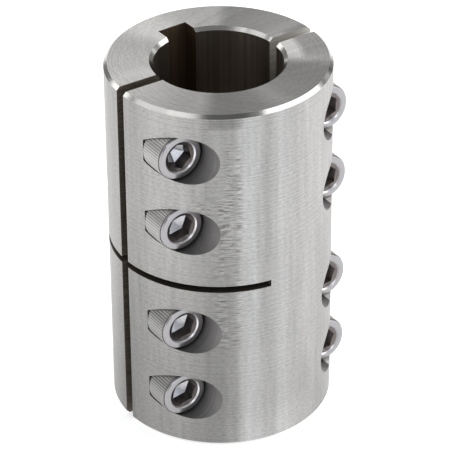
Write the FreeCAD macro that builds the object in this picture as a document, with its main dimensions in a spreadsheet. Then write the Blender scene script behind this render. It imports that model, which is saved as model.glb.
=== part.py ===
import FreeCAD, Part

import os

import Sketcher

# Two-piece clamp coupling: a steel sleeve sawn lengthwise into two halves, which
# eight socket head cap screws draw together round a pair of shafts.
# The bore's axis is Z and the coupling stands on its lower end face at Z = 0.
# The saw cut between the halves lies in the XZ plane. The rear half (+Y) is tapped
# and carries the keyway, the front half (-Y) is counterbored for the screw heads.
# Lengths are in millimetres and angles in degrees.

SIZES = {
    # The turned sleeve
    "outer_diameter": 44.45,
    "bore_diameter": 25.4,
    "body_length": 76.2,
    "rim_chamfer": 0.7,
    "bore_chamfer": 0.7,
    # The saw cut that parts the halves, and how far a cutting sketch passes the wall
    "split_gap": 2.35,
    "cut_margin": 2,
    # The keyway: its height is taken from the bore's axis to its flat bottom
    "key_width": 6.4,
    "key_height": 15.9,
    "key_turn": 2.5,
    # The slot sawn across both halves from the left, which stops short of the axis
    "cross_slot_width": 1.4,
    "cross_slot_drop": 0.65,
    "cross_slot_stop": 2.4,
    # The metal left between the screw holes and the bore, and out to the round wall
    "bore_land": 0.795,
    "rim_land": 2.12,
    # Where the rows of screws sit along the axis, counted from the middle
    "middle_spacing": 23.05,
    "pair_spacing": 15.85,
    "pattern_rise": 0.45,
    # Screw holes: the seat is measured from the middle of the saw cut
    "seat_depth": 6.5,
    "counterbore_clearance": 0.23,
    "shank_clearance": 0.13,
    "thread_clearance": 0.05,
    # Socket head cap screws, as thick as the wall allows: a quarter of an inch
    "shank_length": 15.875,
    "head_chamfer": 0.45,
    "socket_depth": 3.05,
    "mouth_margin": 0.62,
    "mouth_depth": 0.6,
}

OUTER_RADIUS = "Sizes.outer_diameter / 2"
BORE_RADIUS = "Sizes.bore_diameter / 2"
HALF_GAP = "Sizes.split_gap / 2"
REACH = f"({OUTER_RADIUS} + Sizes.cut_margin)"
SLOT_MIDDLE = "(Sizes.body_length / 2 - Sizes.cross_slot_drop)"

# The holes fill the wall between its two lands, and the screws fill the holes
CLEARANCE_HOLE = f"({OUTER_RADIUS} - {BORE_RADIUS} - Sizes.bore_land - Sizes.rim_land)"
SCREW_OFFSET = f"({BORE_RADIUS} + Sizes.bore_land + {CLEARANCE_HOLE} / 2)"
THREAD_DIAMETER = f"({CLEARANCE_HOLE} - 2 * Sizes.shank_clearance)"

# A cap screw's head is one thread high and one and a half wide, its hexagon half that
HEAD_HEIGHT = THREAD_DIAMETER
HEAD_DIAMETER = f"({THREAD_DIAMETER} * 3 / 2)"
SOCKET_WIDTH = f"({HEAD_DIAMETER} / 2)"

# Screw rows from the top end down, as heights above the lower end face
PATTERN_MIDDLE = "Sizes.body_length / 2 + Sizes.pattern_rise"
INNER_ROW = "Sizes.middle_spacing / 2"
OUTER_ROW = f"{INNER_ROW} + Sizes.pair_spacing"
ROW_HEIGHTS = (
    f"{PATTERN_MIDDLE} + ({OUTER_ROW})",
    f"{PATTERN_MIDDLE} + {INNER_ROW}",
    f"{PATTERN_MIDDLE} - {INNER_ROW}",
    f"{PATTERN_MIDDLE} - ({OUTER_ROW})",
)
SIDES = {"left": f"-{SCREW_OFFSET}", "right": SCREW_OFFSET}

# How far each screw was turned when it came tight, from the top row down
SOCKET_TURNS = {"left": (40, 10, 10, 10), "right": (25, 20, 10, 10)}

SAME_LENGTH = 1e-6


def make_sheet(doc):
    """Fills the spreadsheet with the driving dimensions, one named cell each."""
    sheet = doc.addObject("Spreadsheet::Sheet", "Sizes")
    for row, (alias, value) in enumerate(SIZES.items(), start=1):
        sheet.set(f"A{row}", alias)
        sheet.set(f"B{row}", str(value))
        sheet.setAlias(f"B{row}", alias)
    doc.recompute()


def make_body(doc, name):
    body = doc.addObject("PartDesign::Body", name)
    body.Label = name
    return body


def make_sketch(body, name, role):
    """Attaches a new sketch to one of the body's own origin planes."""
    plane = next(item for item in body.Origin.OriginFeatures if item.Role == role)
    sketch = body.newObject("Sketcher::SketchObject", name)
    sketch.AttachmentSupport = [(plane, "")]
    sketch.MapMode = "FlatFace"
    return sketch


def bind(sketch, kind, elements, expression):
    """Adds a dimension to a sketch and ties it to an expression."""
    value = sketch.evalExpression(expression)
    index = sketch.addConstraint(Sketcher.Constraint(kind, *elements, value))
    sketch.setExpression(f"Constraints[{index}]", expression)


def place_point(sketch, element, point, across, up):
    """Fixes a sketch point by its two coordinates. A coordinate of "0" is an axis."""
    for kind, expression, axis in (("DistanceX", across, -2), ("DistanceY", up, -1)):
        if expression == "0":
            sketch.addConstraint(Sketcher.Constraint("PointOnObject", element, point, axis))
        else:
            bind(sketch, kind, (element, point), expression)


def draw_outline(sketch, corners):
    """Draws a closed outline of straight sides from corner expressions."""
    points = []
    for across, up in corners:
        points.append(
            FreeCAD.Vector(
                float(sketch.evalExpression(across)), float(sketch.evalExpression(up)), 0
            )
        )
    first = sketch.GeometryCount
    count = len(points)
    for number, point in enumerate(points):
        sketch.addGeometry(Part.LineSegment(point, points[(number + 1) % count]))
    for number, (across, up) in enumerate(corners):
        following = first + (number + 1) % count
        sketch.addConstraint(Sketcher.Constraint("Coincident", first + number, 2, following, 1))
        place_point(sketch, first + number, 1, across, up)


def draw_circle(sketch, across, up, diameter):
    centre = FreeCAD.Vector(
        float(sketch.evalExpression(across)), float(sketch.evalExpression(up)), 0
    )
    radius = float(sketch.evalExpression(diameter)) / 2
    circle = sketch.addGeometry(Part.Circle(centre, FreeCAD.Vector(0, 0, 1), radius))
    place_point(sketch, circle, 3, across, up)
    bind(sketch, "Diameter", (circle,), diameter)


def solve(doc, feature):
    doc.recompute()
    if "Invalid" in feature.State or "Error" in feature.State:
        raise RuntimeError(f"{feature.Name} could not be built")


def pad(body, sketch, length):
    feature = body.newObject("PartDesign::Pad", f"{sketch.Name}_pad")
    feature.Profile = sketch
    feature.setExpression("Length", length)
    solve(body.Document, feature)
    return feature


def check_removed(feature):
    """Makes sure that a cut took material away."""
    before = feature.BaseFeature.Shape.Volume
    if feature.Shape.Volume >= before:
        raise RuntimeError(f"{feature.Name} removed nothing")


def pocket(body, sketch, depth=None, along_normal=False):
    """Cuts a sketch out of the body, right through or to a depth.

    The cut runs against the sketch's normal, or along it where that is asked for.
    """
    feature = body.newObject("PartDesign::Pocket", f"{sketch.Name}_pocket")
    feature.Profile = sketch
    feature.Reversed = along_normal
    if depth is None:
        feature.Type = "ThroughAll"
    else:
        feature.Type = "Length"
        feature.setExpression("Length", depth)
    solve(body.Document, feature)
    check_removed(feature)
    return feature


def turned_cut(body, sketch):
    """Cuts a sketched section out of the body right round its vertical axis."""
    feature = body.newObject("PartDesign::Groove", f"{sketch.Name}_groove")
    feature.Profile = sketch
    feature.ReferenceAxis = (sketch, ["V_Axis"])
    feature.Angle = 360
    solve(body.Document, feature)
    check_removed(feature)
    return feature


def round_edges(shape, radius, height=None):
    """Names the circular edges of one radius, at one height where it is given."""
    names = []
    for number, edge in enumerate(shape.Edges, start=1):
        if not isinstance(edge.Curve, Part.Circle):
            continue
        if abs(edge.Curve.Radius - radius) > SAME_LENGTH:
            continue
        if height is None or abs(edge.Curve.Center.z - height) < SAME_LENGTH:
            names.append(f"Edge{number}")
    return names


def chamfer(body, name, radius, size, height=None):
    """Chamfers the circular edges of one radius on the body's last feature."""
    base = body.Tip
    edge_radius = float(body.evalExpression(radius))
    edge_height = None if height is None else float(body.evalExpression(height))
    feature = body.newObject("PartDesign::Chamfer", name)
    feature.Base = (base, round_edges(base.Shape, edge_radius, edge_height))
    feature.setExpression("Size", size)
    solve(body.Document, feature)
    return feature


def turn_sleeve(doc, name):
    """Turns the whole sleeve: outer wall, bore and the chamfers of both end faces."""
    body = make_body(doc, name)
    section = make_sketch(body, f"{name}_section", "XY_Plane")
    draw_circle(section, "0", "0", "Sizes.outer_diameter")
    draw_circle(section, "0", "0", "Sizes.bore_diameter")
    pad(body, section, "Sizes.body_length")
    chamfer(body, f"{name}_rim_chamfer", OUTER_RADIUS, "Sizes.rim_chamfer")
    chamfer(body, f"{name}_bore_chamfer", BORE_RADIUS, "Sizes.bore_chamfer")
    return body


def saw_off(body, kept_side):
    """Saws the other half of the sleeve away, with half the saw's width."""
    near = HALF_GAP if kept_side > 0 else f"-{HALF_GAP}"
    far = f"-{REACH}" if kept_side > 0 else REACH
    sketch = make_sketch(body, f"{body.Name}_split", "XY_Plane")
    draw_outline(
        sketch, [(f"-{REACH}", near), (REACH, near), (REACH, far), (f"-{REACH}", far)]
    )
    pocket(body, sketch, along_normal=True)


def saw_cross_slot(body, along_normal):
    """Saws the slot across the half, from the left side to just short of the axis."""
    lower = f"{SLOT_MIDDLE} - Sizes.cross_slot_width / 2"
    upper = f"{SLOT_MIDDLE} + Sizes.cross_slot_width / 2"
    stop = "-Sizes.cross_slot_stop"
    sketch = make_sketch(body, f"{body.Name}_cross_slot", "XZ_Plane")
    draw_outline(
        sketch, [(f"-{REACH}", lower), (stop, lower), (stop, upper), (f"-{REACH}", upper)]
    )
    pocket(body, sketch, along_normal=along_normal)


def drill_screw_holes(body, name, diameter, along_normal, distance="0"):
    """Drills one hole on every screw's axis, from a plane beside the saw cut."""
    sketch = make_sketch(body, f"{body.Name}_{name}", "XZ_Plane")
    if distance != "0":
        sketch.setExpression("AttachmentOffset.Base.z", distance)
    for across in SIDES.values():
        for height in ROW_HEIGHTS:
            draw_circle(sketch, across, height, diameter)
    pocket(body, sketch, along_normal=along_normal)


def cut_keyway(body):
    """Broaches the keyway along the bore, a little out of square to the saw cut."""
    half_width = "Sizes.key_width / 2"
    sketch = make_sketch(body, f"{body.Name}_keyway", "XY_Plane")
    sketch.setExpression("AttachmentOffset.Rotation.Angle", "Sizes.key_turn")
    draw_outline(
        sketch,
        [
            (f"-{half_width}", HALF_GAP),
            (half_width, HALF_GAP),
            (half_width, "Sizes.key_height"),
            (f"-{half_width}", "Sizes.key_height"),
        ],
    )
    pocket(body, sketch, along_normal=True)


def make_rear_half(doc):
    """The half that the screws are threaded into, with the keyway in its bore."""
    body = turn_sleeve(doc, "rear_half")
    saw_off(body, kept_side=1)
    saw_cross_slot(body, along_normal=False)
    cut_keyway(body)
    hole = f"{THREAD_DIAMETER} + 2 * Sizes.thread_clearance"
    drill_screw_holes(body, "tapped_holes", hole, along_normal=False)
    return body


def make_front_half(doc):
    """The half that the screw heads pull on, each in its own flat-seated pocket."""
    body = turn_sleeve(doc, "front_half")
    saw_off(body, kept_side=-1)
    saw_cross_slot(body, along_normal=True)
    drill_screw_holes(body, "clearance_holes", CLEARANCE_HOLE, along_normal=True)
    pocket_width = f"{HEAD_DIAMETER} + 2 * Sizes.counterbore_clearance"
    drill_screw_holes(
        body, "counterbores", pocket_width, along_normal=True, distance="Sizes.seat_depth"
    )
    return body


def turn_screw_blank(body):
    """Turns the head and shank about Z, with the seat under the head at Z = 0."""
    head = make_sketch(body, f"{body.Name}_head", "XY_Plane")
    draw_circle(head, "0", "0", HEAD_DIAMETER)
    pad(body, head, HEAD_HEIGHT)
    shank = make_sketch(body, f"{body.Name}_shank", "XY_Plane")
    draw_circle(shank, "0", "0", THREAD_DIAMETER)
    pad(body, shank, "Sizes.shank_length").Reversed = True
    solve(body.Document, body.Tip)
    chamfer(
        body,
        f"{body.Name}_head_chamfer",
        f"{HEAD_DIAMETER} / 2",
        "Sizes.head_chamfer",
        height=HEAD_HEIGHT,
    )


def cut_socket(body):
    """Forms the hexagon socket and its coned mouth."""
    corner = f"{SOCKET_WIDTH} / sqrt(3)"
    flat = f"{SOCKET_WIDTH} / 2"
    hexagon = make_sketch(body, f"{body.Name}_socket", "XY_Plane")
    hexagon.setExpression("AttachmentOffset.Base.z", HEAD_HEIGHT)
    draw_outline(
        hexagon,
        [
            (corner, "0"),
            (f"{corner} / 2", flat),
            (f"-{corner} / 2", flat),
            (f"-{corner}", "0"),
            (f"-{corner} / 2", f"-{flat}"),
            (f"{corner} / 2", f"-{flat}"),
        ],
    )
    pocket(body, hexagon, depth="Sizes.socket_depth")

    mouth = make_sketch(body, f"{body.Name}_mouth", "XZ_Plane")
    below_face = f"{HEAD_HEIGHT} - Sizes.mouth_depth"
    draw_outline(
        mouth,
        [
            ("0", HEAD_HEIGHT),
            (f"{corner} + Sizes.mouth_margin", HEAD_HEIGHT),
            (flat, below_face),
            ("0", below_face),
        ],
    )
    turned_cut(body, mouth)


def make_screw(doc, side, row):
    """One cap screw, seated in its pocket with its head towards -Y."""
    body = make_body(doc, f"clamp_screw_{side}_{row + 1}")
    turn_screw_blank(body)
    cut_socket(body)
    lean = FreeCAD.Rotation(FreeCAD.Vector(1, 0, 0), 90)
    turn = FreeCAD.Rotation(FreeCAD.Vector(0, 0, 1), SOCKET_TURNS[side][row])
    body.Placement = FreeCAD.Placement(FreeCAD.Vector(), lean.multiply(turn))
    body.setExpression("Placement.Base.x", SIDES[side])
    body.setExpression("Placement.Base.y", "-Sizes.seat_depth")
    body.setExpression("Placement.Base.z", ROW_HEIGHTS[row])
    return body


def check_document(doc, bodies):
    """Stops before anything is written if any object failed."""
    for item in doc.Objects:
        if "Invalid" in item.State or "Error" in item.State:
            raise RuntimeError(f"{item.Name} failed to recompute")
    for body in bodies:
        shape = body.Shape
        if shape.isNull() or not shape.isValid() or len(shape.Solids) != 1:
            raise RuntimeError(f"{body.Label} is not one valid solid")


def main():
    doc = FreeCAD.newDocument("ClampCoupling")
    make_sheet(doc)
    bodies = [make_rear_half(doc), make_front_half(doc)]
    for side in SIDES:
        for row in range(len(ROW_HEIGHTS)):
            bodies.append(make_screw(doc, side, row))
    doc.recompute()
    check_document(doc, bodies)
    os.makedirs("parts", exist_ok=True)
    for body in bodies:
        body.Shape.exportStep(f"parts/{body.Label}.step")
        print(f"{body.Label}: {body.Shape.Volume:.1f} cubic mm")


main()
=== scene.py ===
"""Dresses the two-piece clamp coupling and sets it up for its picture.

The sleeve is turned, sawn into two halves and drilled, and one cap screw is made and
seated eight times. Lengths are in metres, and the coupling stands on Z = 0.
"""

import logging
import math
from collections.abc import Callable, Iterable, Sequence
from dataclasses import dataclass, field
from enum import Enum

import bmesh
import bpy
from mathutils import Matrix, Vector


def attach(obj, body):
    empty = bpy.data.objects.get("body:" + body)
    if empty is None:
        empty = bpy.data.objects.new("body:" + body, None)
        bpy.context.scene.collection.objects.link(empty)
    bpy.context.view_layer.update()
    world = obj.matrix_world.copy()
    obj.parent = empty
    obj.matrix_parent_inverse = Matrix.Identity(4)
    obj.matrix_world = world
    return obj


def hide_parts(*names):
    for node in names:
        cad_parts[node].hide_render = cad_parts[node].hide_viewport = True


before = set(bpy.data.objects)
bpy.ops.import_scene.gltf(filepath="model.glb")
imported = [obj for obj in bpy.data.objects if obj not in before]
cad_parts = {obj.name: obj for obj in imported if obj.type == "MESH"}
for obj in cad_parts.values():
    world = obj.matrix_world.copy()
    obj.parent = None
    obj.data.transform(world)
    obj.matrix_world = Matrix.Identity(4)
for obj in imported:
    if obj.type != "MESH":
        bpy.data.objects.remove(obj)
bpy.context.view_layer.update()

log = logging.getLogger("clamp_coupling")

MM = 0.001
# Two places nearer than this are the same one
SAME_PLACE = 1e-6
# A normal with more than this along an axis points along it
ALONG_AXIS = 0.99
Z_AXIS = Vector((0, 0, 1))


class Side(Enum):
    """The two columns of screws, with the sign of their place along X."""

    LEFT = -1
    RIGHT = 1


class Half(Enum):
    """The two halves of the sleeve, with the side of the saw cut each one is on."""

    REAR = 1
    FRONT = -1


class Cut(Enum):
    """What a boolean operation does with its second piece."""

    REMOVE = "DIFFERENCE"
    JOIN = "UNION"
    KEEP_SHARED = "INTERSECT"


class Axis(Enum):
    """An axis of the coupling, by the name of its output on a shader node."""

    X = "X"
    Y = "Y"
    Z = "Z"


class Grain(Enum):
    """Which way the lines of a finish run: along the axis with the smallest scale."""

    EVEN = (1800, 1800, 1800)
    SAWN = (60, 2500, 2500)
    GRIMY = (625, 2500, 2500)
    BORED = (1250, 1250, 12)
    MILLED = (60, 2500, 60)


class Finish(Enum):
    """The finishes of the coupling, with their materials' names; several are painted light or
    painted shade.
    """

    TURNED = "turned_steel"
    CHAMFERED = "chamfered_steel"
    SAWN = "sawn_steel"
    GRIMY = "grimy_steel"
    SLOTTED = "slotted_steel"
    BORED = "bored_steel"
    BROACHED = "broached_steel"
    MILLED = "milled_steel"
    MILLED_PAINTED_LIGHT = "bright_milled_steel"
    SCREW = "screw_steel"
    KNURLED = "knurled_steel"
    SOCKET = "socket_steel"
    PUNCHED = "punched_steel"
    PRESSED = "pressed_steel"


Materials = dict[Finish, bpy.types.Material]
Colour = tuple[float, float, float]


# ---- Modelling steps ----


def select_none() -> None:
    """Leaves object mode with nothing selected."""
    if bpy.context.object and bpy.context.object.mode != "OBJECT":
        bpy.ops.object.mode_set(mode="OBJECT")
    bpy.ops.object.select_all(action="DESELECT")


def make_active(piece: bpy.types.Object) -> None:
    """Selects one piece alone and makes it the active one.

    Args:
        piece: The piece.
    """
    select_none()
    piece.select_set(True)
    bpy.context.view_layer.objects.active = piece


def start_editing(piece: bpy.types.Object) -> None:
    """Opens one piece in edit mode."""
    make_active(piece)
    bpy.ops.object.mode_set(mode="EDIT")


def apply_place(piece: bpy.types.Object) -> None:
    """Moves a piece's place, turn and scale into its mesh."""
    make_active(piece)
    bpy.ops.object.transform_apply(location=True, rotation=True, scale=True)


def turn_and_move(piece: bpy.types.Object, matrix: Matrix) -> None:
    """Puts a piece in its place and keeps that place in its mesh."""
    piece.matrix_world = matrix
    apply_place(piece)


def add_cylinder(
    name: str,
    radius: float,
    bottom: float,
    top: float,
    sides: int,
    top_radius: float | None = None,
) -> bpy.types.Object:
    """Adds an upright cylinder, cone or prism about the Z axis.

    Args:
        name: The new object's name.
        radius: The radius at the bottom.
        bottom: The height of the lower face.
        top: The height of the upper face.
        sides: How many flat sides it has.
        top_radius: The radius at the top, where it differs.

    Returns:
        The new object, with its place in its mesh.
    """
    select_none()
    bpy.ops.mesh.primitive_cone_add(
        vertices=sides,
        radius1=radius,
        radius2=radius if top_radius is None else top_radius,
        depth=top - bottom,
        location=(0, 0, (top + bottom) / 2),
    )
    piece = bpy.context.object
    piece.name = name
    apply_place(piece)
    return piece


def add_block(name: str, lowest: Vector, highest: Vector) -> bpy.types.Object:
    """Adds a box.

    Args:
        name: The new object's name.
        lowest: The corner with the smallest coordinates.
        highest: The corner with the largest coordinates.

    Returns:
        The new object, with its place in its mesh.
    """
    select_none()
    bpy.ops.mesh.primitive_cube_add(size=1, location=(lowest + highest) / 2)
    piece = bpy.context.object
    piece.name = name
    piece.scale = highest - lowest
    apply_place(piece)
    return piece


def combine(target: bpy.types.Object, tool: bpy.types.Object, cut: Cut) -> None:
    """Cuts a piece with another or joins the two.

    Args:
        target: The piece that is kept.
        tool: The other piece, which is used up.
        cut: What is done with the two.
    """
    make_active(target)
    step = target.modifiers.new("cut", "BOOLEAN")
    step.operation = cut.value
    step.solver = "EXACT"
    step.object = tool
    bpy.ops.object.modifier_apply(modifier=step.name)
    bpy.data.objects.remove(tool, do_unlink=True)


def select_edges(piece: bpy.types.Object, wanted: Callable[[Vector, Vector], bool]) -> int:
    """Selects the edges whose two ends answer a test.

    Args:
        piece: The piece in edit mode.
        wanted: Says from the places of an edge's ends whether it is wanted.

    Returns:
        How many edges were selected.
    """
    bpy.ops.mesh.select_mode(type="EDGE")
    bpy.ops.mesh.select_all(action="DESELECT")
    mesh = bmesh.from_edit_mesh(piece.data)
    count = 0
    for edge in mesh.edges:
        if wanted(edge.verts[0].co, edge.verts[1].co):
            edge.select_set(True)
            count += 1
    bmesh.update_edit_mesh(piece.data)
    return count


def select_faces(piece: bpy.types.Object, wanted: Callable[[Vector, Vector], bool]) -> int:
    """Selects the faces whose middle and normal answer a test.

    Args:
        piece: The piece in edit mode.
        wanted: Says from a face's middle and normal whether it is wanted.

    Returns:
        How many faces were selected.
    """
    bpy.ops.mesh.select_mode(type="FACE")
    bpy.ops.mesh.select_all(action="DESELECT")
    mesh = bmesh.from_edit_mesh(piece.data)
    count = 0
    for face in mesh.faces:
        if wanted(face.calc_center_median(), face.normal):
            face.select_set(True)
            count += 1
    bmesh.update_edit_mesh(piece.data)
    return count


def bevel_rim(piece: bpy.types.Object, level: float, size: float, segments: int = 1) -> None:
    """Bevels the rim at one height of a cylinder.

    Args:
        piece: The cylinder.
        level: The height of the rim.
        size: How far the bevel reaches from the edge.
        segments: How many faces it has across, one for a chamfer.
    """

    def on_rim(one: Vector, other: Vector) -> bool:
        """Says whether an edge lies at the height of the rim."""
        return max(abs(one.z - level), abs(other.z - level)) < SAME_PLACE

    start_editing(piece)
    select_edges(piece, on_rim)
    bpy.ops.mesh.bevel(offset=size, offset_type="OFFSET", segments=segments)
    bpy.ops.object.mode_set(mode="OBJECT")


def smooth(piece: bpy.types.Object, sharpest: float) -> None:
    """Shades a piece smooth over edges up to an angle in degrees."""
    make_active(piece)
    bpy.ops.object.shade_smooth_by_angle(angle=math.radians(sharpest))


def paint(
    piece: bpy.types.Object,
    kinds: Sequence[Finish],
    materials: Materials,
    choose: Callable[[Vector, Vector], Finish],
) -> None:
    """Gives each face of a piece its material.

    Args:
        piece: The piece.
        kinds: The finishes that the piece has.
        materials: The materials of all finishes.
        choose: Says from a face's middle and normal which finish it has.
    """
    piece.data.materials.clear()
    for kind in kinds:
        piece.data.materials.append(materials[kind])
    for face in piece.data.polygons:
        face.material_index = kinds.index(choose(face.center, face.normal))


# ---- Finishes ----


class Nodes:
    """A short way to add and join a material's shader nodes."""

    def __init__(self, material: bpy.types.Material) -> None:
        """Empties the material's node tree and starts from its shader and output.

        Args:
            material: The material.
        """
        material.use_nodes = True
        self.tree = material.node_tree
        self.tree.nodes.clear()
        self.output = self.tree.nodes.new("ShaderNodeOutputMaterial")
        self.shader = self.tree.nodes.new("ShaderNodeBsdfPrincipled")
        self.join(self.shader, "BSDF", self.output, "Surface")

    def add(self, kind: str, **values: object) -> bpy.types.Node:
        """Adds a node.

        Args:
            kind: The node's type, without the words that all types start with.
            **values: Its properties and its inputs' values, by name.

        Returns:
            The new node.
        """
        node = self.tree.nodes.new(f"ShaderNode{kind}")
        for name, value in values.items():
            if hasattr(node, name):
                setattr(node, name, value)
            else:
                node.inputs[name.replace("_", " ")].default_value = value
        return node

    def join(
        self,
        start: bpy.types.Node,
        out: str | int,
        end: bpy.types.Node,
        into: str | int,
    ) -> None:
        """Joins an output to an input."""
        self.tree.links.new(start.outputs[out], end.inputs[into])

    def feed(self, node: bpy.types.Node, terms: Iterable[object]) -> None:
        """Sets or joins a node's inputs in order.

        Args:
            node: The node.
            terms: Values, nodes, or pairs of a node and its output's name.
        """
        for index, term in enumerate(terms):
            if isinstance(term, bpy.types.Node):
                self.join(term, 0, node, index)
            elif isinstance(term, tuple) and isinstance(term[0], bpy.types.Node):
                self.join(term[0], term[1], node, index)
            else:
                node.inputs[index].default_value = term

    def arithmetic(self, kind: str, *terms: object) -> bpy.types.Node:
        """Adds a Math node.

        Args:
            kind: Its operation.
            *terms: Numbers, nodes, or pairs of a node and its output's name.

        Returns:
            The new node.
        """
        node = self.add("Math", operation=kind)
        self.feed(node, terms)
        return node

    def vector(self, kind: str, *terms: object) -> bpy.types.Node:
        """Adds a Vector Math node.

        Args:
            kind: Its operation.
            *terms: Vectors, nodes, or pairs of a node and its output's name.

        Returns:
            The new node.
        """
        node = self.add("VectorMath", operation=kind)
        self.feed(node, terms)
        return node

    def span(self, value: object, low: float, high: float) -> bpy.types.Node:
        """Adds a smooth step from 0 to 1.

        Args:
            value: A node, or a pair of a node and its output's name.
            low: The value at which the step is 0.
            high: The value at which it is 1, which may be below the other.

        Returns:
            The new node.
        """
        node = self.add("MapRange", interpolation_type="SMOOTHSTEP")
        self.feed(node, (value, low, high, 0.0, 1.0))
        return node

    def split(self, place: bpy.types.Node) -> bpy.types.Node:
        """Splits the Object coordinates into X, Y and Z.

        Args:
            place: The Texture Coordinate node.

        Returns:
            The new node.
        """
        parts = self.add("SeparateXYZ")
        self.join(place, "Object", parts, 0)
        return parts

    def flatten(self, parts: bpy.types.Node) -> bpy.types.Node:
        """Drops the height of a place.

        Args:
            parts: The Object coordinates split into X, Y and Z.

        Returns:
            A node of the place's X and Y.
        """
        flat = self.add("CombineXYZ")
        self.join(parts, "X", flat, "X")
        self.join(parts, "Y", flat, "Y")
        return flat

    def set_metal(self, level: bpy.types.Node, colour: Colour, roughness: float) -> None:
        """Makes the shader a bare metal.

        Args:
            level: The node that scales the colour from place to place.
            colour: The colour at a level of 1.
            roughness: How rough the metal is all over.
        """
        scaled = self.vector("SCALE", colour)
        self.join(level, 0, scaled, "Scale")
        self.join(scaled, 0, self.shader, "Base Color")
        self.shader.inputs["Roughness"].default_value = roughness
        self.shader.inputs["Metallic"].default_value = 1


@dataclass(frozen=True)
class Patch:
    """A place on the steel whose level differs, round a direction across the Z axis.

    Its angles are in degrees and its lengths in millimetres. Most patches are painted light:
    highlights, reflections and shade.

    Attributes:
        towards: The X and Y of the direction.
        widest: The angle from the direction at which the patch ends.
        narrowest: The angle up to which it is at full strength.
        lowest: The height from which it is at full strength.
        highest: The height up to which it is at full strength.
        fade: How far it fades out below and above.
        change: What it adds to the level of 1.
        inner_radius: Where it reaches full strength outwards, or 0 for everywhere.
        radius_fade: How far it fades out inside that radius.
    """

    towards: tuple[float, float]
    widest: float
    narrowest: float
    lowest: float
    highest: float
    fade: float
    change: float
    inner_radius: float = 0.0
    radius_fade: float = 2.0

    def make(self, nodes: Nodes, parts: bpy.types.Node) -> bpy.types.Node:
        """Makes the patch's share of the level.

        Args:
            nodes: The material's nodes.
            parts: The Object coordinates split into X, Y and Z.

        Returns:
            A node whose value is the change at full strength and 0 outside the patch.
        """
        flat = nodes.flatten(parts)
        outward = nodes.vector("NORMALIZE", flat)
        facing = nodes.vector("DOT_PRODUCT", outward, (*self.towards, 0))
        share = nodes.span(
            (facing, "Value"),
            math.cos(math.radians(self.widest)),
            math.cos(math.radians(self.narrowest)),
        )
        for edge, way in ((self.lowest, -1), (self.highest, 1)):
            height = nodes.span((parts, "Z"), (edge + way * self.fade) * MM, edge * MM)
            share = nodes.arithmetic("MULTIPLY", share, height)
        if self.inner_radius > 0:
            radius = nodes.vector("LENGTH", flat)
            start = (self.inner_radius - self.radius_fade) * MM
            outside = nodes.span((radius, "Value"), start, self.inner_radius * MM)
            share = nodes.arithmetic("MULTIPLY", share, outside)
        return nodes.arithmetic("MULTIPLY", share, self.change)


def lay_painted_light(
    nodes: Nodes, parts: bpy.types.Node, level: bpy.types.Node, painted_light: Iterable[Patch]
) -> bpy.types.Node:
    """Lays patches of painted light over a level, one after the other: painted highlights,
    reflections and shade.

    Args:
        nodes: The material's nodes.
        parts: The Object coordinates split into X, Y and Z.
        level: The node of the level without patches.
        painted_light: The patches of painted light.

    Returns:
        The node of the level with them.
    """
    for patch in painted_light:
        share = nodes.arithmetic("ADD", patch.make(nodes, parts), 1.0)
        level = nodes.arithmetic("MULTIPLY", level, share)
    return level


@dataclass(frozen=True)
class TurnedSurface:
    """The nodes that measure a turned surface.

    Attributes:
        parts: The Object coordinates split into X, Y and Z.
        radius: The node whose Value is the distance from the Z axis.
        arc: The node of the way round the Z axis.
    """

    parts: bpy.types.Node
    radius: bpy.types.Node
    arc: bpy.types.Node

    @classmethod
    def measure(cls, nodes: Nodes, place: bpy.types.Node) -> "TurnedSurface":
        """Measures the distance from the Z axis and the way round it.

        Args:
            nodes: The material's nodes.
            place: The Texture Coordinate node.

        Returns:
            The measured surface.
        """
        parts = nodes.split(place)
        radius = nodes.vector("LENGTH", nodes.flatten(parts))
        angle = nodes.arithmetic("ARCTAN2", (parts, "Y"), (parts, "X"))
        return cls(parts, radius, nodes.arithmetic("MULTIPLY", angle, (radius, "Value")))


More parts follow.
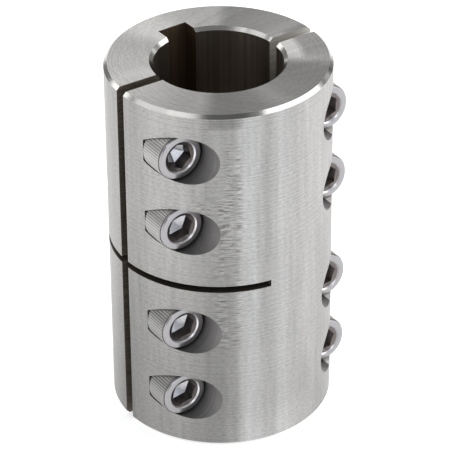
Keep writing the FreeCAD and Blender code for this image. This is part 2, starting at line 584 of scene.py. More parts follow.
@dataclass(frozen=True)
class TurnedSteel:
    """Stainless steel turned on a lathe: rings round the wall and on the end faces, with painted
    light on both.
    """

    finish: Finish = Finish.TURNED
    colour: Colour = (0.445, 0.438, 0.428)
    roughness: float = 0.38
    anisotropy: float = 0.95
    grain_turn: float = 0.25
    ring_width: float = 0.30 * MM
    ring_share: float = 0.5
    scratch_length: float = 0.9 * MM
    scratch_tint: float = 0.85
    scratch_bump: float = 0.005 * MM
    stain_size: float = 6.0 * MM
    stain_tint: float = 0.14
    streak_width: float = 1.3 * MM
    streak_length: float = 22 * MM
    streak_tint: float = 0.3
    mark_width: float = 2.4 * MM
    mark_height: float = 0.36 * MM
    mark_depth: float = 0.7
    mark_grain: float = 0.5
    mark_levels: tuple[float, float] = (0.64, 0.92)
    mark_mean: float = 0.3
    worn_streaks: tuple[float, float] = (0.36, 0.58)
    worn_streak_share: float = 0.6
    worn_stains: tuple[float, float] = (0.28, 0.52)
    worn_bands: tuple[Patch, ...] = (
        Patch((-0.43, -0.903), 6, 2, 52, 68, 3, 1.0),
        Patch((-0.53, -0.848), 14, 9, 52, 56, 4, 1.05),
        Patch((-0.48, -0.877), 9, 4, 26, 52, 6, 0.9),
    )
    # Painted light on the wall: a painted dark reflection in a band down the front, painted
    # shade low down and under the front chamfer, and painted highlights.
    wall_painted_light: tuple[Patch, ...] = (
        Patch((-0.54, -0.842), 11, 4, 0, 75.9, 0.2, -0.16),
        Patch((-0.87, -0.492), 46, 24, 0, 13, 46, -0.25),
        Patch((-0.415, -0.91), 7.5, 3, 0, 75.9, 0.2, 0.1),
        Patch((-0.49, -0.872), 11, 5, 74, 75, 1.2, -0.32),
        Patch((0.43, -0.903), 24, 10, 0, 6, 26, -0.11),
        Patch((0.581, -0.814), 15, 7, 0, 40, 14, -0.08),
        Patch((-0.937, 0.35), 30, 22, 0, 3, 42, -0.22),
        Patch((-0.15, -0.99), 34, 14, 0, 2, 9, 0.16),
    )
    # Painted reflections on the top end face: darker sectors that stand in for the turned rings'
    # reflections.
    end_painted_light: tuple[Patch, ...] = (
        Patch((0.976, -0.217), 24, 13, 76, 78, 0.2, -0.5, inner_radius=17.4),
        Patch((0.13, -0.99), 54, 40, 76, 78, 0.2, -0.52),
        Patch((0.55, -0.835), 32, 18, 76, 78, 0.2, -0.27),
        Patch((0.87, 0.49), 32, 20, 76, 78, 0.2, -0.38),
        Patch((-0.76, 0.65), 30, 8, 76, 78, 0.2, -0.22),
        Patch((-0.94, -0.33), 36, 20, 76, 78, 0.2, -0.14),
    )

    def make(self) -> bpy.types.Material:
        """Builds the material.

        Returns:
            The material, which reads Object coordinates with Z as the lathe's axis.
        """
        material = bpy.data.materials.new(self.finish.value)
        nodes = Nodes(material)
        place = nodes.add("TexCoord")
        surface = TurnedSurface.measure(nodes, place)
        scratches = self.make_scratches(nodes, surface)
        stain = nodes.add("TexNoise", Scale=1 / self.stain_size, Detail=4.0, Roughness=0.6)
        nodes.join(place, "Object", stain, "Vector")
        streaks = self.stretch_noise(nodes, surface, self.streak_width, self.streak_length)
        worn = self.wear(nodes, surface, scratches, stain, streaks)

        level: object = 1 - (self.scratch_tint + self.stain_tint + self.streak_tint) / 2
        for noise, tint in (
            (scratches, self.scratch_tint),
            (stain, self.stain_tint),
            (streaks, self.streak_tint),
        ):
            level = nodes.arithmetic("MULTIPLY_ADD", noise, tint, level)
        level = nodes.arithmetic("MULTIPLY", level, worn)
        # Painted highlights, painted reflections and painted shade on the wall and the end face
        painted_light = self.wall_painted_light + self.end_painted_light
        level = lay_painted_light(nodes, surface.parts, level, painted_light)
        nodes.set_metal(level, self.colour, self.roughness)
        nodes.shader.inputs["Anisotropic"].default_value = self.anisotropy
        nodes.shader.inputs["Anisotropic Rotation"].default_value = self.grain_turn
        self.lay_rings(nodes, place)

        bump = nodes.add("Bump", Strength=1.0, Distance=self.scratch_bump)
        nodes.join(scratches, 0, bump, "Height")
        nodes.join(bump, 0, nodes.shader, "Normal")
        return material

    def lay_rings(self, nodes: Nodes, place: bpy.types.Node) -> None:
        """Runs the grain round the Z axis.

        Args:
            nodes: The material's nodes.
            place: The Texture Coordinate node.
        """
        around = nodes.vector("CROSS_PRODUCT", Z_AXIS, (place, "Object"))
        turn = nodes.add(
            "VectorTransform", vector_type="VECTOR", convert_from="OBJECT", convert_to="WORLD"
        )
        nodes.join(around, 0, turn, 0)
        tangent = nodes.vector("NORMALIZE", turn)
        nodes.join(tangent, 0, nodes.shader, "Tangent")

    def make_scratches(self, nodes: Nodes, surface: TurnedSurface) -> bpy.types.Node:
        """Makes short fine scratches that lie on rings round the wall and on the ends.

        Args:
            nodes: The material's nodes.
            surface: The measured surface.

        Returns:
            A node that is stretched round the Z axis, with 0.5 as its mean.
        """
        along = nodes.arithmetic("DIVIDE", surface.arc, self.scratch_length)
        # The rings are stacked along Z on the wall and along the radius on the ends
        across = nodes.arithmetic("ADD", (surface.parts, "Z"), (surface.radius, "Value"))
        across = nodes.arithmetic("DIVIDE", across, self.ring_width)
        where = nodes.add("CombineXYZ")
        nodes.join(along, 0, where, "X")
        nodes.join(across, 0, where, "Y")
        scratches = nodes.add(
            "TexNoise", noise_dimensions="2D", Scale=1.0, Detail=4.0, Roughness=0.75
        )
        nodes.join(where, 0, scratches, "Vector")
        rings = nodes.add("TexNoise", noise_dimensions="1D", Scale=1.0, Detail=1.0)
        nodes.join(across, 0, rings, "W")
        shift = nodes.arithmetic("SUBTRACT", rings, 0.5)
        return nodes.arithmetic("MULTIPLY_ADD", shift, self.ring_share, scratches)

    def stretch_noise(
        self, nodes: Nodes, surface: TurnedSurface, width: float, height: float
    ) -> bpy.types.Node:
        """Makes noise whose grains have a width round the wall and a height up it.

        Args:
            nodes: The material's nodes.
            surface: The measured surface.
            width: The grains' width.
            height: The grains' height.

        Returns:
            A node with 0.5 as its mean.
        """
        where = nodes.add("CombineXYZ")
        across = nodes.arithmetic("DIVIDE", surface.arc, width)
        upward = nodes.arithmetic("DIVIDE", (surface.parts, "Z"), height)
        nodes.join(across, 0, where, "X")
        nodes.join(upward, 0, where, "Y")
        noise = nodes.add("TexNoise", noise_dimensions="2D", Scale=1.0, Detail=2.0)
        nodes.join(where, 0, noise, "Vector")
        return noise

    def wear(
        self,
        nodes: Nodes,
        surface: TurnedSurface,
        scratches: bpy.types.Node,
        stain: bpy.types.Node,
        streaks: bpy.types.Node,
    ) -> bpy.types.Node:
        """Makes the dark dashes of the worn bands, in columns where the streaks are light.

        Args:
            nodes: The material's nodes.
            surface: The measured surface.
            scratches: The node of the scratches, which roughen the dashes.
            stain: The node of the stains, which break the columns up.
            streaks: The node of the streaks.

        Returns:
            A node whose value is 1 where nothing is worn and less in the dashes.
        """
        worn: object = 0.0
        for band in self.worn_bands:
            worn = nodes.arithmetic("MAXIMUM", worn, band.make(nodes, surface.parts))
        share = self.worn_streak_share
        columns = nodes.span(streaks, *self.worn_streaks)
        columns = nodes.arithmetic("MULTIPLY_ADD", columns, share, 1 - share)
        worn = nodes.arithmetic("MULTIPLY", worn, columns)
        worn = nodes.arithmetic("MULTIPLY", worn, nodes.span(stain, *self.worn_stains))
        marks = self.stretch_noise(nodes, surface, self.mark_width, self.mark_height)
        marks = nodes.arithmetic("MULTIPLY_ADD", scratches, self.mark_grain, marks)
        marks = nodes.span(marks, *self.mark_levels)
        dashes = nodes.arithmetic("SUBTRACT", marks, self.mark_mean)
        dashes = nodes.arithmetic("MULTIPLY", dashes, worn)
        return nodes.arithmetic("MULTIPLY_ADD", dashes, -self.mark_depth, 1.0)


@dataclass(frozen=True)
class Shading:
    """How a finish grows darker along an axis: painted shade in the pockets, on the knurled
    sides and in the sockets, and darker towards the keyway in the bore.

    Attributes:
        axis: The axis.
        bright: The place on it up to which the finish is at full level.
        dark: The place on it from which it is at its darkest.
        loss: The share of the level that is lost there.
    """

    axis: Axis
    bright: float
    dark: float
    loss: float


@dataclass(frozen=True)
class PlainSteel:
    """Bare steel with fine lines in its colour.

    Attributes:
        finish: The finish that it is.
        colour: Its mean colour.
        roughness: How rough it is.
        tint: How far the lines go from the mean.
        grain: Which way the lines run.
        shading: How it grows darker along an axis, if it does.
        painted_light: The places where its level differs: painted highlights and painted shade.
    """

    finish: Finish
    colour: Colour
    roughness: float
    tint: float = 0.1
    grain: Grain = Grain.EVEN
    shading: Shading | None = None
    painted_light: tuple[Patch, ...] = ()

    def make(self) -> bpy.types.Material:
        """Builds the material.

        Returns:
            The material, which reads Object coordinates.
        """
        material = bpy.data.materials.new(self.finish.value)
        nodes = Nodes(material)
        place = nodes.add("TexCoord")
        mapping = nodes.add("Mapping", Scale=self.grain.value)
        nodes.join(place, "Object", mapping, "Vector")
        noise = nodes.add("TexNoise", Scale=1.0, Detail=2.0)
        nodes.join(mapping, 0, noise, "Vector")
        level = nodes.arithmetic("MULTIPLY_ADD", noise, self.tint, 1 - self.tint / 2)
        parts = nodes.split(place)
        # Painted highlights and painted shade, where the finish has them
        level = lay_painted_light(nodes, parts, level, self.painted_light)
        if self.shading:
            along = (parts, self.shading.axis.value)
            shade = nodes.span(along, self.shading.bright, self.shading.dark)
            shade = nodes.arithmetic("MULTIPLY_ADD", shade, -self.shading.loss, 1.0)
            level = nodes.arithmetic("MULTIPLY", level, shade)
        nodes.set_metal(level, self.colour, self.roughness)
        return material


PLAIN_STEELS = (
    PlainSteel(
        Finish.CHAMFERED,
        (0.59, 0.585, 0.57),
        0.17,
        # Painted shade over the chamfer's highlight: at its right end and at the front.
        painted_light=(
            Patch((0.649, -0.76), 10, 6, 70, 78, 1, -0.6, inner_radius=18),
            Patch((-0.477, -0.879), 14, 6, 70, 78, 1, -0.42, inner_radius=18),
        ),
    ),
    PlainSteel(Finish.SAWN, (0.56, 0.54, 0.51), 0.65, 0.9, Grain.SAWN),
    # The left saw face: dark brown, for grime and for painted shade in the narrow slit.
    PlainSteel(Finish.GRIMY, (0.18, 0.155, 0.13), 0.65, 1.2, Grain.GRIMY),
    # The cross slot: dark, a painted shade inside the slot.
    PlainSteel(Finish.SLOTTED, (0.16, 0.14, 0.12), 0.6),
    PlainSteel(
        Finish.BORED,
        (0.45, 0.395, 0.345),
        0.36,
        0.9,
        Grain.BORED,
        Shading(Axis.Y, bright=1.5 * MM, dark=12.5 * MM, loss=0.34),
    ),
    # The keyway: dark brown, a painted shade in the recess.
    PlainSteel(Finish.BROACHED, (0.14, 0.098, 0.065), 0.6, 0.9, Grain.BORED),
    PlainSteel(
        Finish.MILLED,
        (0.36, 0.35, 0.345),
        0.6,
        0.6,
        Grain.MILLED,
        # Painted shade: the pocket walls grow darker inwards, towards the heads.
        Shading(Axis.Y, bright=-17.5 * MM, dark=-8.5 * MM, loss=0.72),
    ),
    # A lighter copy of the milled steel: painted light on the pocket walls beyond the right-hand
    # screws.
    PlainSteel(Finish.MILLED_PAINTED_LIGHT, (0.93, 0.91, 0.88), 0.85, 0.6, Grain.MILLED),
    PlainSteel(Finish.SCREW, (0.39, 0.382, 0.393), 0.30),
    # The knurled sides: a lighter copy of the screw steel, painted light, with painted shade
    # growing down towards the lower heads.
    PlainSteel(
        Finish.KNURLED,
        (0.57, 0.56, 0.55),
        0.5,
        shading=Shading(Axis.Z, bright=68 * MM, dark=20 * MM, loss=0.25),
    ),
    # Painted shade in the sockets, their mouths and the step round each head; the sockets on the
    # left are shaded darker still.
    PlainSteel(
        Finish.SOCKET,
        (0.172, 0.149, 0.139),
        0.32,
        shading=Shading(Axis.X, bright=10 * MM, dark=-10 * MM, loss=0.4),
    ),
    # The socket floor: a lighter copy of the screw steel, a painted highlight.
    PlainSteel(Finish.PUNCHED, (0.66, 0.65, 0.68), 0.4, 0.5),
    # The socket's steep lip: near white, a painted highlight.
    PlainSteel(Finish.PRESSED, (0.82, 0.81, 0.84), 0.4),
)


def make_materials() -> Materials:
    """Makes the materials of all finishes."""
    return {steel.finish: steel.make() for steel in (TurnedSteel(), *PLAIN_STEELS)}


# ---- The sleeve's halves ----


@dataclass
class ClampSleeve:
    """The turned sleeve, sawn into two halves and drilled for the screws."""

    materials: Materials
    outer_radius: float = 22.225 * MM
    bore_radius: float = 12.7 * MM
    length: float = 76.2 * MM
    chamfer: float = 0.7 * MM
    half_gap: float = 1.175 * MM
    key_half_width: float = 3.2 * MM
    key_height: float = 15.9 * MM
    key_turn: float = math.radians(2.5)
    slot_width: float = 1.4 * MM
    slot_height: float = 37.45 * MM
    slot_stop: float = 2.4 * MM
    screw_offset: float = 16.8 * MM
    row_heights: tuple[float, ...] = (65.925 * MM, 50.075 * MM, 27.025 * MM, 11.175 * MM)
    seat_depth: float = 6.5 * MM
    pocket_radius: float = 4.9925 * MM
    hole_radius: float = 3.305 * MM
    tapped_radius: float = 3.225 * MM
    sides: int = 360
    hole_sides: int = 64
    reach: float = 30 * MM
    skin: float = 0.05 * MM
    key_margin: float = 1 * MM
    chamfer_slopes: tuple[float, float] = (0.6, 0.8)
    wall_slope: float = 0.6
    wall_depth: float = 0.84 * MM
    sharpest: float = 30
    kinds: tuple[Finish, ...] = (
        Finish.TURNED,
        Finish.CHAMFERED,
        Finish.SAWN,
        Finish.GRIMY,
        Finish.SLOTTED,
        Finish.BORED,
        Finish.BROACHED,
        Finish.MILLED,
        Finish.MILLED_PAINTED_LIGHT,
    )

    def screw_places(self) -> list[tuple[float, float]]:
        """Lists the X and Z of every screw."""
        columns = [side.value * self.screw_offset for side in Side]
        return [(across, high) for across in columns for high in self.row_heights]

    def turn(self, name: str) -> bpy.types.Object:
        """Turns the whole sleeve with its chamfers, from one cylinder.

        Args:
            name: The new piece's name.

        Returns:
            The closed sleeve.
        """
        piece = add_cylinder(name, self.outer_radius, 0, self.length, self.sides)
        start_editing(piece)
        select_faces(piece, lambda place, normal: abs(normal.z) > ALONG_AXIS)
        bpy.ops.mesh.inset(thickness=self.outer_radius - self.bore_radius)
        bpy.ops.mesh.bridge_edge_loops()

        def on_rim(one: Vector, other: Vector) -> bool:
            """Says whether an edge lies on an end face's outer or inner rim."""
            off_ends = min(max(abs(one.z - end), abs(other.z - end)) for end in (0, self.length))
            return max(off_ends, abs(one.xy.length - other.xy.length)) < SAME_PLACE

        select_edges(piece, on_rim)
        bpy.ops.mesh.bevel(offset=self.chamfer, offset_type="OFFSET", segments=1)
        bpy.ops.object.mode_set(mode="OBJECT")
        return piece

    def saw(self, piece: bpy.types.Object, half: Half) -> None:
        """Saws the sleeve along the bore and keeps one half.

        Args:
            piece: The sleeve.
            half: The half that is kept.
        """
        start_editing(piece)
        bpy.ops.mesh.select_all(action="SELECT")
        bpy.ops.mesh.bisect(
            plane_co=(0, half.value * self.half_gap, 0),
            plane_no=(0, half.value, 0),
            threshold=SAME_PLACE,
            use_fill=True,
            clear_inner=True,
        )
        bpy.ops.object.mode_set(mode="OBJECT")

    def cut_slot(self, piece: bpy.types.Object) -> None:
        """Saws the slot across a half at mid-length, short of the axis.

        Args:
            piece: The half.
        """
        low = self.slot_height - self.slot_width / 2
        high = self.slot_height + self.slot_width / 2
        blade = add_block(
            "blade",
            Vector((-self.reach, -self.reach, low)),
            Vector((-self.slot_stop, self.reach, high)),
        )
        combine(piece, blade, Cut.REMOVE)

    def cut_keyway(self, piece: bpy.types.Object) -> None:
        """Broaches the keyway along the bore.

        Args:
            piece: The rear half.
        """
        broach = add_block(
            "broach",
            Vector((-self.key_half_width, self.half_gap, -self.reach)),
            Vector((self.key_half_width, self.key_height, self.length + self.reach)),
        )
        turn_and_move(broach, Matrix.Rotation(self.key_turn, 4, "Z"))
        combine(piece, broach, Cut.REMOVE)

    def drill(self, piece: bpy.types.Object, radius: float, near: float, far: float) -> None:
        """Drills all eight screw holes.

        Args:
            piece: The half.
            radius: The drill's radius.
            near: The place along Y where the holes start.
            far: The place along Y where they end.
        """
        lean = Matrix.Rotation(math.radians(-90), 4, "X")
        for across, high in self.screw_places():
            drill = add_cylinder("drill", radius, near, far, self.hole_sides)
            turn_and_move(drill, Matrix.Translation((across, 0, high)) @ lean)
            combine(piece, drill, Cut.REMOVE)

    def finish_of(self, place: Vector, normal: Vector) -> Finish:
        """Chooses the finish of a half's face by where it lies and which way it faces.

        Args:
            place: The face's middle.
            normal: The direction that it faces.

        Returns:
            The finish.
        """
        distance = place.xy.length
        outward = place.xy.normalized().dot(normal.xy)
        slope = abs(normal.z)
        from_end = min(place.z, self.length - place.z)
        if slope > ALONG_AXIS and from_end < self.skin:
            return Finish.TURNED
        if from_end < self.chamfer and self.chamfer_slopes[0] < slope < self.chamfer_slopes[1]:
            return Finish.CHAMFERED
        if outward > self.wall_slope and distance > self.outer_radius - self.wall_depth:
            return Finish.TURNED
        if outward < -ALONG_AXIS and abs(distance - self.bore_radius) < self.skin:
            return Finish.BORED
        # The left saw face gets grime and painted shade; the right one stays plain sawn steel.
        if abs(normal.y) > ALONG_AXIS and abs(abs(place.y) - self.half_gap) < self.skin:
            return Finish.SAWN if place.x > 0 else Finish.GRIMY
        # The keyway's faces get a painted shade.
        over_key = abs(place.x) < self.key_half_width + self.key_margin
        if over_key and 0 < place.y < self.key_height + self.key_margin:
            return Finish.BROACHED
        # Faces at the slot's height get the slot's painted shade.
        if abs(place.z - self.slot_height) < self.slot_width:
            return Finish.SLOTTED
        # Faces beyond the right-hand column of screws get painted light.
        return Finish.MILLED_PAINTED_LIGHT if place.x > self.screw_offset else Finish.MILLED

    def dress(self, piece: bpy.types.Object) -> None:
        """Gives a half its finishes and smooth shading.

        Args:
            piece: The half.
        """
        paint(piece, self.kinds, self.materials, self.finish_of)
        smooth(piece, self.sharpest)

    def make_rear(self) -> bpy.types.Object:
        """Makes the tapped half with the keyway.

        Returns:
            The finished half.
        """
        piece = self.turn("rear_half_detailed")
        self.saw(piece, Half.REAR)
        self.cut_slot(piece)
        self.cut_keyway(piece)
        self.drill(piece, self.tapped_radius, 0, self.reach)
        self.dress(piece)
        return piece

    def make_front(self) -> bpy.types.Object:
        """Makes the half with the clearance holes and the pockets for the heads.

        Returns:
            The finished half.
        """
        piece = self.turn("front_half_detailed")
        self.saw(piece, Half.FRONT)
        self.cut_slot(piece)
        self.drill(piece, self.hole_radius, -self.reach, 0)
        self.drill(piece, self.pocket_radius, -self.reach, -self.seat_depth)
        self.dress(piece)
        return piece


# ---- The screws ----


@dataclass
class CapScrew:
    """A quarter-inch socket head cap screw with a knurled head and a cut thread."""

    materials: Materials
    head_radius: float = 4.7625 * MM
    head_height: float = 6.35 * MM
    edge_height: float = 0.5 * MM
    edge_step: float = 0.16 * MM
    edge_radius: float = 0.4 * MM
    edge_overlap: float = 0.5 * MM
    edge_segments: int = 5
    foot_chamfer: float = 0.55 * MM
    knurl_teeth: int = 56
    knurl_depth: float = 0.16 * MM
    points_per_tooth: int = 4
    socket_width: float = 4.7625 * MM
    socket_depth: float = 3.05 * MM
    socket_turn: float = math.radians(30)
    point_depth: float = 1.3 * MM
    point_share: float = 0.02
    mouth_margin: float = 0.62 * MM
    mouth_depth: float = 0.6 * MM
    lip_depth: float = 0.28 * MM
    lip_width: float = 0.24 * MM
    cutter_margin: float = 1 * MM
    shank_radius: float = 3.175 * MM
    shank_length: float = 15.875 * MM
    shank_overlap: float = 0.3 * MM
    tip_chamfer: float = 0.6 * MM
    trim_margin: float = 0.2 * MM
    thread_pitch: float = 25.4 / 28 * MM
    thread_height: float = 0.52 * MM
    crest_share: float = 0.125
    foot_share: float = 0.88
    ridge_overlap: float = 0.15 * MM
    run_out: float = 1.5
    thread_steps: int = 48
    turns: dict[Side, tuple[float, ...]] = field(
        default_factory=lambda: {Side.LEFT: (40, 10, 10, 10), Side.RIGHT: (25, 20, 10, 10)}
    )
    round_sides: int = 96
    skin: float = 0.02 * MM
    side_depth: float = 0.24 * MM
    side_slope: float = 0.1
    floor_slope: float = 0.5
    socket_share: float = 0.75
    sharpest: float = 25
    kinds: tuple[Finish, ...] = (
        Finish.SCREW,
        Finish.KNURLED,
        Finish.SOCKET,
        Finish.PUNCHED,
        Finish.PRESSED,
    )

    def form_head(self) -> bpy.types.Object:
        """Forms the head: a knurled side, a small step and a smooth rounded edge.

        Returns:
            The head, with its seat at Z = 0.
        """
        rim = self.head_height - self.edge_height
        points = self.points_per_tooth * self.knurl_teeth
        piece = add_cylinder("screw", self.head_radius, 0, rim, points)
        bevel_rim(piece, 0, self.foot_chamfer)
        self.knurl(piece, math.tau / points)
        edge = add_cylinder(
            "edge",
            self.head_radius - self.edge_step,
            rim - self.edge_overlap,
            self.head_height,
            self.round_sides,
        )
        bevel_rim(edge, self.head_height, self.edge_radius, self.edge_segments)
        combine(piece, edge, Cut.JOIN)
        return piece

    def knurl(self, piece: bpy.types.Object, step: float) -> None:
        """Presses the valleys of the knurling into the head's side.

        Args:
            piece: The head.
            step: The angle between two edges of its side.
        """

        def in_valley(one: Vector, other: Vector) -> bool:
            """Says whether an edge of the side runs along a valley.

            Args:
                one: The place of the edge's one end.
                other: The place of its other end.

            Returns:
                Whether it does.
            """
            upright = abs(one.z - other.z) > self.head_height / 2
            if not upright or one.xy.length < self.head_radius - SAME_PLACE:
                return False
            return round(math.atan2(one.y, one.x) / step) % self.points_per_tooth == 0

        start_editing(piece)
        log.info("knurl valleys: %d", select_edges(piece, in_valley))
        shrink = 1 - self.knurl_depth / self.head_radius
        bpy.ops.transform.resize(value=(shrink, shrink, 1))
        bpy.ops.object.mode_set(mode="OBJECT")

    def cut_socket(self, piece: bpy.types.Object) -> None:
        """Cuts the hexagon with its pointed floor, and its coned mouth with a steep lip.

        Args:
            piece: The head.
        """
        corner = self.socket_width / math.sqrt(3)
        top = self.head_height
        floor = top - self.socket_depth
        hexagon = add_cylinder("hexagon", corner, floor, top + self.cutter_margin, 6)
        turn_and_move(hexagon, Matrix.Rotation(self.socket_turn, 4, "Z"))
        self.grow(hexagon, floor, -self.point_depth, self.point_share)
        wide = corner + self.mouth_margin
        narrow = wide - self.lip_width
        lip_foot = top - self.lip_depth
        mouth = add_cylinder(
            "mouth",
            self.socket_width / 2,
            top - self.mouth_depth,
            lip_foot,
            self.round_sides,
            top_radius=narrow,
        )
        self.grow(mouth, lip_foot, top - lip_foot, wide / narrow)
        self.grow(mouth, top, self.cutter_margin, 1)
        combine(piece, hexagon, Cut.REMOVE)
        combine(piece, mouth, Cut.REMOVE)

    def grow(self, piece: bpy.types.Object, level: float, rise: float, widen: float) -> None:
        """Draws a cutter's end face out along Z and makes it wider or narrower.

        Args:
            piece: The cutter.
            level: The height of the end face.
            rise: How far the face goes up, or down where it is negative.
            widen: How many times wider it becomes.
        """

        def at_end(place: Vector, normal: Vector) -> bool:
            """Says whether a face is the end face."""
            return abs(normal.z) > ALONG_AXIS and abs(place.z - level) < SAME_PLACE

        start_editing(piece)
        select_faces(piece, at_end)
        bpy.ops.mesh.extrude_region_move(TRANSFORM_OT_translate={"value": (0, 0, rise)})
        bpy.ops.transform.resize(value=(widen, widen, 1))
        bpy.ops.object.mode_set(mode="OBJECT")

    def draw_profile(self, inner: float, start: float) -> bpy.types.Object:
        """Draws the outline of one turn of the thread, from a square.

        Args:
            inner: The radius of its foot.
            start: The height of its middle.

        Returns:
            The outline, as four edges without a face.
        """
        foot = self.foot_share * self.thread_pitch / 2
        crest = self.crest_share * self.thread_pitch / 2
        select_none()
        bpy.ops.mesh.primitive_plane_add(size=1)
        profile = bpy.context.object
        profile.name = "ridge"
        corners = ((inner, -foot), (self.shank_radius, -crest))
        corners += ((self.shank_radius, crest), (inner, foot))
        # A plane's corners lie in the order 0, 1, 3, 2 round it
        for index, (across, high) in zip((0, 1, 3, 2), corners):
            profile.data.vertices[index].co = (across, 0, start + high)
        start_editing(profile)
        bpy.ops.mesh.select_all(action="SELECT")
        bpy.ops.mesh.delete(type="ONLY_FACE")
        bpy.ops.object.mode_set(mode="OBJECT")
        return profile

    def wind_ridge(self, root: float, start: float) -> bpy.types.Object:
        """Winds the thread's ridge and closes its ends.

        Args:
            root: The radius of the shank's core, which the ridge reaches into.
            start: The height at which the ridge starts.

        Returns:
            The ridge.
        """
        pitch = self.thread_pitch
        ridge = self.draw_profile(root - self.ridge_overlap, start)
        coil = ridge.modifiers.new("coil", "SCREW")
        coil.axis = "Z"
        coil.angle = math.tau
        coil.screw_offset = pitch
        coil.iterations = math.ceil((self.shank_length + pitch) / pitch) + 1
        coil.steps = self.thread_steps
        coil.render_steps = self.thread_steps
        coil.use_merge_vertices = False
        bpy.ops.object.modifier_apply(modifier=coil.name)
        bpy.ops.object.mode_set(mode="EDIT")
        bpy.ops.mesh.select_mode(type="EDGE")
        bpy.ops.mesh.select_all(action="DESELECT")
        bpy.ops.mesh.select_non_manifold(extend=False)
        bpy.ops.mesh.fill()
        bpy.ops.mesh.select_all(action="SELECT")
        bpy.ops.mesh.normals_make_consistent(inside=False)
        bpy.ops.object.mode_set(mode="OBJECT")
        return ridge

    def cut_thread(self) -> bpy.types.Object:
        """Makes the threaded shank: a helical ridge on a core, trimmed to length.

        Returns:
            The shank, which starts a little inside the head.
        """
        root = self.shank_radius - self.thread_height
        start = -self.shank_length - self.run_out * self.thread_pitch
        ridge = self.wind_ridge(root, start)
        low = start - self.thread_pitch
        shank = add_cylinder("shank", root, low, self.thread_pitch, self.thread_steps)
        combine(shank, ridge, Cut.JOIN)
        trim = add_cylinder(
            "trim",
            self.shank_radius + self.trim_margin,
            -self.shank_length,
            self.shank_overlap,
            self.round_sides,
        )
        bevel_rim(trim, -self.shank_length, self.tip_chamfer + self.trim_margin)
        combine(shank, trim, Cut.KEEP_SHARED)
        return shank

    def finish_of(self, place: Vector, normal: Vector) -> Finish:
        """Chooses the finish of a screw's face by where it lies and which way it faces.

        Args:
            place: The face's middle.
            normal: The direction that it faces.

        Returns:
            The finish.
        """
        distance = place.xy.length
        top = self.head_height
        # The flat step round the head gets a painted shadow line.
        if abs(place.z - (top - self.edge_height)) < self.skin and normal.z > ALONG_AXIS:
            return Finish.SOCKET
        # The knurled side gets its painted light and painted shade.
        if distance > self.head_radius - self.side_depth and abs(normal.z) < self.side_slope:
            return Finish.KNURLED
        in_head = self.foot_chamfer < place.z < top
        if distance > self.socket_share * self.head_radius or not in_head:
            return Finish.SCREW
        # The flat ring stays screw steel; the steep lip gets a painted highlight.
        if place.z > top - self.lip_depth - self.skin:
            return Finish.SCREW if normal.z > ALONG_AXIS else Finish.PRESSED
        # The socket's walls and mouth get a painted shade, its floor a painted highlight.
        deep = place.z < top - self.mouth_depth - self.skin
        return Finish.PUNCHED if deep and normal.z > self.floor_slope else Finish.SOCKET

    def form(self) -> bpy.types.Object:
        """Forms one screw about the Z axis.

        Returns:
            The screw, with the seat under its head at Z = 0.
        """
        piece = self.form_head()
        self.cut_socket(piece)
        shank = self.cut_thread()
        make_active(piece)
        shank.select_set(True)
        bpy.ops.object.join()
        paint(piece, self.kinds, self.materials, self.finish_of)
        smooth(piece, self.sharpest)
        return piece

    def seat(
        self, pattern: bpy.types.Object, name: str, place: Vector, turn: float
    ) -> bpy.types.Object:
        """Copies the screw and seats it.

        Args:
            pattern: The screw to copy.
            name: The CAD node that the copy stands for.
            place: The middle of the seat under its head.
            turn: How far it is turned about its axis, in degrees.

        Returns:
            The copy, in its place.
        """
        piece = pattern.copy()
        piece.data = pattern.data.copy()
        piece.name = f"{name}_detailed"
        bpy.context.scene.collection.objects.link(piece)
        lean = Matrix.Rotation(math.radians(90), 4, "X")
        spin = Matrix.Rotation(math.radians(turn), 4, "Z")
        turn_and_move(piece, Matrix.Translation(place) @ lean @ spin)
        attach(piece, name)
        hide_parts(name)
        return piece


# ---- The studio ----


@dataclass(frozen=True)
class Lamp:
    """A flat soft lamp, placed round the coupling from the camera's view.

    Attributes:
        name: Its name.
        azimuth: How far it stands to the right of the camera, in degrees.
        elevation: How high it stands, in degrees.
        width: The width of its face.
        height: The height of its face.
        brightness: The level of its face, where 1 is white.
        distance: How far it stands from the coupling.
        warmth: How much more red than blue it has.
    """

    name: str
    azimuth: float
    elevation: float
    width: float
    height: float
    brightness: float
    distance: float = 1.2
    warmth: float = 0.0

    def watts(self) -> float:
        """Gives the power at which the lamp's face has its brightness."""
        return self.brightness * math.pi * self.width * self.height

    def colour(self) -> Colour:
        """Gives the colour of its light."""
        return 1 + self.warmth / 2, 1, 1 - self.warmth / 2


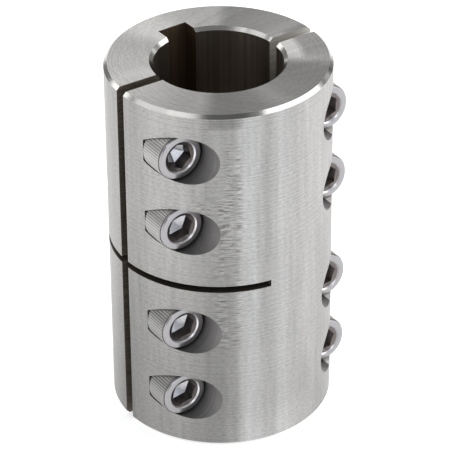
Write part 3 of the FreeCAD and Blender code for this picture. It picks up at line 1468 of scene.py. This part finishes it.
@dataclass
class Studio:
    """A plain pale floor, soft lamps and the camera."""

    target: Vector = field(default_factory=lambda: Vector((0.915, -0.375, 38.1)) * MM)
    azimuth: float = -32.523
    elevation: float = 32.385
    roll: float = -0.543
    distance: float = 569.90 * MM
    lens: float = 228.17
    sensor_width: float = 36
    nearest: float = 0.01
    furthest: float = 50
    floor_size: float = 8.0
    floor_drop: float = 0.1 * MM
    floor_light: float = 0.58
    floor_colour: Colour = (0.8, 0.8, 0.8)
    world_level: float = 0.24
    world_colour: Colour = (1, 1, 1)
    lamps: tuple[Lamp, ...] = (
        Lamp("front_lamp", -4, 38, 0.22, 0.2, 9.0, warmth=-0.06),
        Lamp("right_lamp", 92, 38, 1.05, 0.9, 2.0),
        Lamp("low_right_lamp", 110, 8, 1.1, 0.5, 1.3),
        Lamp("narrow_lamp", 60, 8, 0.11, 0.8, 4.4, warmth=-0.18),
        Lamp("strip_lamp", 30, 8, 0.3, 0.8, 2.75, warmth=-0.16),
        Lamp("left_lamp", -80, 42, 0.6, 0.5, 0.9),
        Lamp("high_left_lamp", -43, 54, 0.5, 0.2, 1.2),
        Lamp("low_left_lamp", -52, 8, 1.0, 0.5, 1.5),
        Lamp("back_left_lamp", -156, 26, 0.35, 0.6, 2.2),
        Lamp("back_right_lamp", 156, 42, 1.1, 0.9, 1.5),
        Lamp("side_left_lamp", -118, 28, 0.5, 0.4, 1.6),
        Lamp("high_back_lamp", -147, 46, 0.5, 0.4, 2.0),
    )

    def axes(self, azimuth: float, elevation: float) -> tuple[Vector, Vector, Vector]:
        """Gives the directions of a view.

        Args:
            azimuth: The view's angle round Z in degrees, 0 from -Y.
            elevation: Its angle above the floor in degrees.

        Returns:
            The directions to the right, up and back from the coupling.
        """
        across, high = math.radians(azimuth), math.radians(elevation)
        back = Vector(
            (
                math.sin(across) * math.cos(high),
                -math.cos(across) * math.cos(high),
                math.sin(high),
            )
        )
        right = Vector((math.cos(across), math.sin(across), 0))
        return right, back.cross(right), back

    def add_camera(self) -> None:
        """Adds the camera at the picture's own angle."""
        right, up, back = self.axes(self.azimuth, self.elevation)
        roll = math.radians(self.roll)
        turned_right = math.cos(roll) * right + math.sin(roll) * up
        turned_up = math.cos(roll) * up - math.sin(roll) * right
        camera = bpy.data.objects.new("camera", bpy.data.cameras.new("camera"))
        camera.data.sensor_width = self.sensor_width
        camera.data.lens = self.lens
        camera.data.clip_start = self.nearest
        camera.data.clip_end = self.furthest
        columns = Matrix((turned_right, turned_up, back)).transposed()
        camera.matrix_world = (
            Matrix.Translation(self.target + back * self.distance) @ columns.to_4x4()
        )
        bpy.context.scene.collection.objects.link(camera)
        bpy.context.scene.camera = camera

    def make_floor_material(self) -> bpy.types.Material:
        """Builds the floor's material, which glows only to the camera and in reflections.

        Returns:
            The material.
        """
        material = bpy.data.materials.new("floor")
        nodes = Nodes(material)
        nodes.tree.nodes.remove(nodes.shader)
        diffuse = nodes.add("BsdfDiffuse", Color=(*self.floor_colour, 1))
        glow = nodes.add("Emission", Strength=self.floor_light)
        both = nodes.add("AddShader")
        nodes.feed(both, (diffuse, glow))
        path = nodes.add("LightPath")
        seen = nodes.arithmetic("MAXIMUM", (path, "Is Camera Ray"), (path, "Is Glossy Ray"))
        seen = nodes.arithmetic("MAXIMUM", seen, (path, "Is Transmission Ray"))
        mix = nodes.add("MixShader")
        nodes.feed(mix, (seen, diffuse, both))
        nodes.join(mix, 0, nodes.output, "Surface")
        return material

    def add_floor(self) -> None:
        """Adds the floor, which looks white to the camera and keeps the shadow."""
        select_none()
        bpy.ops.mesh.primitive_plane_add(
            size=self.floor_size, location=(0, 0, -self.floor_drop)
        )
        floor = bpy.context.object
        floor.name = "floor"
        floor.data.materials.append(self.make_floor_material())

    def add_world(self) -> None:
        """Adds the room's even light."""
        world = bpy.data.worlds.new("room")
        bpy.context.scene.world = world
        world.use_nodes = True
        tree = world.node_tree
        tree.nodes.clear()
        output = tree.nodes.new("ShaderNodeOutputWorld")
        background = tree.nodes.new("ShaderNodeBackground")
        background.inputs["Color"].default_value = (*self.world_colour, 1)
        background.inputs["Strength"].default_value = self.world_level
        tree.links.new(background.outputs[0], output.inputs["Surface"])

    def add_lamp(self, lamp: Lamp) -> None:
        """Adds one lamp, turned towards the coupling.

        Args:
            lamp: The lamp.
        """
        _, _, back = self.axes(self.azimuth + lamp.azimuth, lamp.elevation)
        light = bpy.data.lights.new(lamp.name, "AREA")
        light.shape = "RECTANGLE"
        light.size = lamp.width
        light.size_y = lamp.height
        light.energy = lamp.watts()
        light.color = lamp.colour()
        holder = bpy.data.objects.new(lamp.name, light)
        holder.location = self.target + back * lamp.distance
        holder.rotation_mode = "QUATERNION"
        holder.rotation_quaternion = back.to_track_quat("Z", "Y")
        bpy.context.scene.collection.objects.link(holder)

    def build(self) -> None:
        """Sets up the whole studio."""
        self.add_camera()
        self.add_floor()
        self.add_world()
        for lamp in self.lamps:
            self.add_lamp(lamp)
        bpy.context.scene.view_settings.view_transform = "Standard"


def main() -> None:
    """Builds the coupling's pieces in order, then the studio."""
    logging.basicConfig(level=logging.INFO, format="%(message)s")
    materials = make_materials()
    sleeve = ClampSleeve(materials)
    for name, piece in (("rear_half", sleeve.make_rear()), ("front_half", sleeve.make_front())):
        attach(piece, name)
        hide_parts(name)
        log.info("%s: %d faces", name, len(piece.data.polygons))

    screw = CapScrew(materials)
    pattern = screw.form()
    for side in Side:
        for row, high in enumerate(sleeve.row_heights):
            name = f"clamp_screw_{side.name.lower()}_{row + 1}"
            place = Vector((side.value * sleeve.screw_offset, -sleeve.seat_depth, high))
            piece = screw.seat(pattern, name, place, screw.turns[side][row])
            log.info("%s: %d faces", name, len(piece.data.polygons))
    bpy.data.objects.remove(pattern, do_unlink=True)

    Studio().build()


if __name__ == "__main__":
    main()
